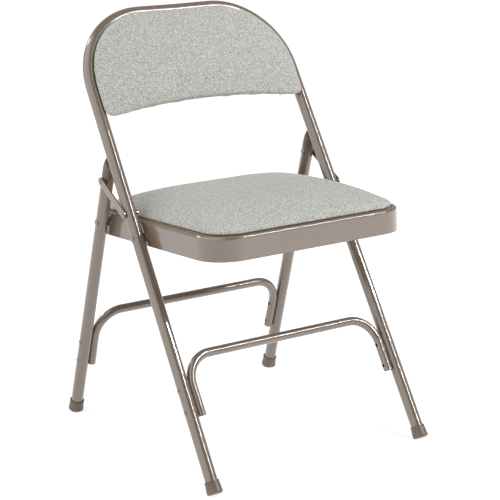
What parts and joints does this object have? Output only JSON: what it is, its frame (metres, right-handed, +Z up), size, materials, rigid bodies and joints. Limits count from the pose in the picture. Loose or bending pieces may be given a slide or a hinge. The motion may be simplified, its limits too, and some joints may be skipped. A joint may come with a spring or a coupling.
{
  "type": "folding chair",
  "caption": "Steel tube folding chair with a padded seat and back; the seat and rear legs fold flat against the front frame on riveted hinge links.",
  "frame": {"origin": "on the floor, in the middle of the chair's footprint", "axes": "+X to the right of a person facing the chair's back, so across the chair; -Y is the front, +Z is up"},
  "size_m": [0.4714, 0.5026, 0.7488],
  "materials": {
    "frame_enamel": "gloss enamel",
    "rivet_steel": "gloss enamel over steel",
    "screw_steel": "zinc plated",
    "foot_cap": "satin",
    "leg_cap": "satin",
    "board": "raw fibreboard",
    "upholstery": "heather weave"
  },
  "bodies": {
    "front_frame": {"front_frame": "frame_enamel", "front_brace": "frame_enamel", "front_brace_rivets": "rivet_steel", "front_foot_cap_left": "foot_cap", "front_foot_cap_right": "foot_cap", "seat_pivot_rivets": "rivet_steel", "link_pivot_rivets": "rivet_steel", "back_panel": "frame_enamel", "back_board": "board", "back_pad": "upholstery", "back_screws": "screw_steel"},
    "seat": {"seat_pan": "frame_enamel", "seat_board": "board", "seat_pad": "upholstery", "seat_screws": "screw_steel", "seat_pivot_spacers": "rivet_steel", "leg_pivot_spacers": "rivet_steel", "leg_pivot_rivets": "rivet_steel"},
    "rear_legs": {"rear_leg_left": "frame_enamel", "rear_leg_right": "frame_enamel", "rear_brace": "frame_enamel", "rear_brace_rivets": "rivet_steel", "leg_head_rivets": "rivet_steel", "rear_foot_cap_left": "foot_cap", "rear_foot_cap_right": "foot_cap", "rear_leg_cap_left": "leg_cap", "rear_leg_cap_right": "leg_cap"},
    "link_left": {"hinge_link_left": "frame_enamel", "link_head_rivet_left": "rivet_steel"},
    "link_right": {"hinge_link_right": "frame_enamel", "link_head_rivet_right": "rivet_steel"}
  },
  "joints": [
    {"name": "seat_fold", "type": "hinge", "parent": "front_frame", "child": "seat", "pos_m": [0, 0.00472, 0.385], "axis": [-1, 0, 0], "range_deg": [0, 111.39]},
    {"name": "rear_leg_fold", "type": "hinge", "parent": "seat", "child": "rear_legs", "pos_m": [0, 0.12848, 0.388], "axis": [1, 0, 0], "range_deg": [0, 62.89]},
    {"name": "link_left_fold", "type": "hinge", "parent": "front_frame", "child": "link_left", "pos_m": [0, 0.02956, 0.42385], "axis": [-1, 0, 0], "range_deg": [0, 134.84]},
    {"name": "link_right_fold", "type": "hinge", "parent": "front_frame", "child": "link_right", "pos_m": [0, 0.02956, 0.42385], "axis": [-1, 0, 0], "range_deg": [0, 134.84]}
  ],
  "couplings": [
    {"joint": "rear_leg_fold", "follows": "seat_fold", "ratio": 0.5645},
    {"joint": "link_left_fold", "follows": "seat_fold", "ratio": 1.2105},
    {"joint": "link_right_fold", "follows": "seat_fold", "ratio": 1.2105}
  ]
}
